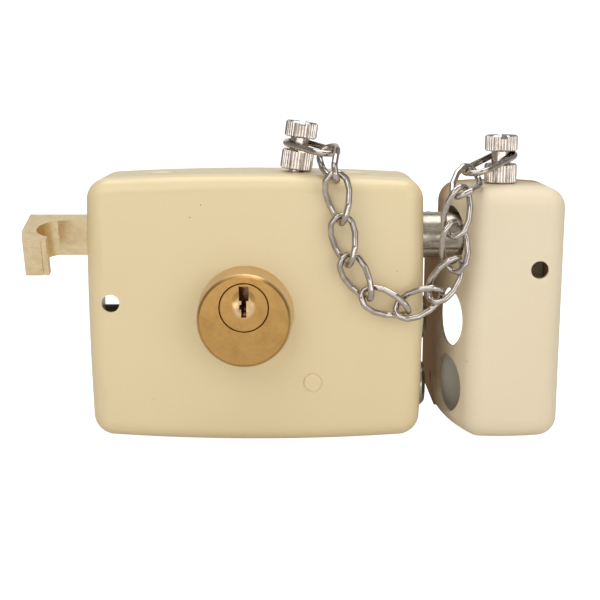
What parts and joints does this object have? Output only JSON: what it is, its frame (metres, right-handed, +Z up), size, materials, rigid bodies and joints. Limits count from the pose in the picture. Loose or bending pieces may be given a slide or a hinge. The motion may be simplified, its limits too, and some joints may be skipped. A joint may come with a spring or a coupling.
{
  "type": "rim night latch",
  "caption": "Surface-mounted rim lock with a turned key cylinder, round deadbolts, sprung latch with hook pull, box keeper and a door chain between posts.",
  "frame": {"origin": "on the key cylinder's axis, in the plane where the lock sits on the door", "axes": "+X from the pull handle towards the keeper, +Y into the door, +Z up; the front faces -Y"},
  "size_m": [0.1827, 0.0845, 0.1097],
  "materials": {
    "cream_paint": "satin baked paint over pressed steel",
    "zinc_steel": "zinc plated",
    "steel": "machined",
    "spring_steel": "drawn wire and stamped clips",
    "bolt_nickel": "satin nickel",
    "bright_nickel": "bright nickel",
    "brass": "turned and lacquered",
    "handle_brass": "cast and polished"
  },
  "bodies": {
    "lock_case": {"case_cover": "cream_paint", "back_plate": "zinc_steel", "cover_lugs": "zinc_steel", "cover_screws": "cream_paint", "face_rivet": "cream_paint", "bolt_guide": "zinc_steel", "rod_guide": "zinc_steel", "cylinder_shell": "brass", "driver_pins": "brass", "pin_springs": "spring_steel", "pin_bore_plugs": "brass", "cylinder_clip": "spring_steel", "gear_stud": "steel", "stud_clip": "spring_steel", "rack_guide": "zinc_steel", "guide_rivets": "zinc_steel", "left_post": "bright_nickel", "left_post_nut": "steel", "latch_spring": "spring_steel"},
    "latch": {"latch_bolt": "bolt_nickel", "latch_rod": "steel", "pull_handle": "handle_brass", "handle_pin": "steel"},
    "deadbolt": {"deadbolts": "bolt_nickel", "bolt_rack": "steel", "bolt_rivets": "steel"},
    "plug": {"plug": "brass", "key_pins": "brass", "plug_clip": "spring_steel", "tail_bar": "steel", "drive_gear": "steel"},
    "compound": {"compound_gear": "steel"},
    "keeper": {"keeper_box": "cream_paint", "keeper_plate": "zinc_steel", "right_post": "bright_nickel", "right_post_nut": "steel"},
    "left_head": {"left_thumb_head": "bright_nickel"},
    "right_head": {"right_thumb_head": "bright_nickel"},
    "ring_left": {"ring_left": "bright_nickel"},
    "ring_right": {"ring_right": "bright_nickel"},
    "link_01": {"link_01": "bright_nickel"},
    "link_02": {"link_02": "bright_nickel"},
    "link_03": {"link_03": "bright_nickel"},
    "link_04": {"link_04": "bright_nickel"},
    "link_05": {"link_05": "bright_nickel"},
    "link_06": {"link_06": "bright_nickel"},
    "link_07": {"link_07": "bright_nickel"},
    "link_08": {"link_08": "bright_nickel"},
    "link_09": {"link_09": "bright_nickel"},
    "link_10": {"link_10": "bright_nickel"}
  },
  "joints": [
    {"name": "key_turn", "type": "hinge", "parent": "lock_case", "child": "plug", "pos_m": [0, -0.03, 0], "axis": [0, 1, 0], "range_deg": [0, 360]},
    {"name": "compound_spin", "type": "hinge", "parent": "lock_case", "child": "compound", "pos_m": [-0.00999, -0.008, -0.01498], "axis": [0, 1, 0], "range_deg": [-180, 0]},
    {"name": "deadbolt_throw", "type": "slide", "parent": "lock_case", "child": "deadbolt", "axis": [1, 0, 0], "range_m": [0, 0.01885]},
    {"name": "latch_slide", "type": "slide", "parent": "lock_case", "child": "latch", "axis": [-1, 0, 0], "range_m": [0, 0.014], "stiffness_N_per_m": 350, "springref_m": -0.012, "deforming": ["latch_spring"]},
    {"name": "keeper_travel", "type": "slide", "parent": "lock_case", "child": "keeper", "axis": [1, 0, 0], "range_m": [0, 0.024]},
    {"name": "left_head_turn", "type": "hinge", "parent": "lock_case", "child": "left_head", "pos_m": [0.01811, -0.0155, 0.05132], "axis": [0.1392, 0, 0.9903], "continuous": true},
    {"name": "right_head_turn", "type": "hinge", "parent": "keeper", "child": "right_head", "pos_m": [0.087, -0.0155, 0.04674], "axis": [0, 0, 1], "continuous": true},
    {"name": "chain_left_0", "type": "hinge", "parent": "lock_case", "child": "ring_left", "pos_m": [0.01811, -0.0155, 0.05132], "axis": [0, 1, 0], "range_deg": [-3.85, 0]},
    {"name": "chain_left_1", "type": "hinge", "parent": "ring_left", "child": "link_01", "pos_m": [0.0274, -0.026, 0.0492], "axis": [0, 1, 0], "range_deg": [-18.1, 0]},
    {"name": "chain_left_2", "type": "hinge", "parent": "link_01", "child": "link_02", "pos_m": [0.0297, -0.0362, 0.0428], "axis": [0, 1, 0], "range_deg": [0, 6.22]},
    {"name": "chain_left_3", "type": "hinge", "parent": "link_02", "child": "link_03", "pos_m": [0.0318, -0.0362, 0.027], "axis": [0, 1, 0], "range_deg": [0, 7.25]},
    {"name": "chain_left_4", "type": "hinge", "parent": "link_03", "child": "link_04", "pos_m": [0.0338, -0.0362, 0.0148], "axis": [0, 1, 0], "range_deg": [-11.09, 0]},
    {"name": "chain_left_5", "type": "hinge", "parent": "link_04", "child": "link_05", "pos_m": [0.0407, -0.0362, 0.0024], "axis": [0, 1, 0], "range_deg": [0, 19.43]},
    {"name": "chain_right_0", "type": "hinge", "parent": "keeper", "child": "ring_right", "pos_m": [0.087, -0.0155, 0.04674], "axis": [0, 1, 0], "range_deg": [0, 0.4896]},
    {"name": "chain_right_1", "type": "hinge", "parent": "ring_right", "child": "link_10", "pos_m": [0.0758, -0.025, 0.0426], "axis": [0, 1, 0], "range_deg": [0, 17.81]},
    {"name": "chain_right_2", "type": "hinge", "parent": "link_10", "child": "link_09", "pos_m": [0.0708, -0.0362, 0.0364], "axis": [0, 1, 0], "range_deg": [-0.464, 0]},
    {"name": "chain_right_3", "type": "hinge", "parent": "link_09", "child": "link_08", "pos_m": [0.0688, -0.0362, 0.0246], "axis": [0, 1, 0], "range_deg": [-0.5, 0.5]},
    {"name": "chain_right_4", "type": "hinge", "parent": "link_08", "child": "link_07", "pos_m": [0.0697, -0.0362, 0.0131], "axis": [0, 1, 0], "range_deg": [-3.24, 0]},
    {"name": "chain_right_5", "type": "hinge", "parent": "link_07", "child": "link_06", "pos_m": [0.0634, -0.0362, 0.0029], "axis": [0, 1, 0], "range_deg": [-8.58, 0]}
  ],
  "couplings": [
    {"joint": "key_turn", "follows": "deadbolt_throw", "rad_per_m": 333.33},
    {"joint": "compound_spin", "follows": "deadbolt_throw", "rad_per_m": -166.67},
    {"joint": "chain_left_0", "follows": "keeper_travel", "rad_per_m": -2.7738},
    {"joint": "chain_left_1", "follows": "keeper_travel", "rad_per_m": -13.034},
    {"joint": "chain_left_2", "follows": "keeper_travel", "rad_per_m": 4.4813},
    {"joint": "chain_left_3", "follows": "keeper_travel", "rad_per_m": 5.2214},
    {"joint": "chain_left_4", "follows": "keeper_travel", "rad_per_m": -7.9855},
    {"joint": "chain_left_5", "follows": "keeper_travel", "rad_per_m": 13.99},
    {"joint": "chain_right_0", "follows": "keeper_travel", "rad_per_m": 0.35255},
    {"joint": "chain_right_1", "follows": "keeper_travel", "rad_per_m": 12.82},
    {"joint": "chain_right_2", "follows": "keeper_travel", "rad_per_m": -0.33409},
    {"joint": "chain_right_3", "follows": "keeper_travel", "rad_per_m": 0.11213},
    {"joint": "chain_right_4", "follows": "keeper_travel", "rad_per_m": -2.3333},
    {"joint": "chain_right_5", "follows": "keeper_travel", "rad_per_m": -6.1755}
  ]
}
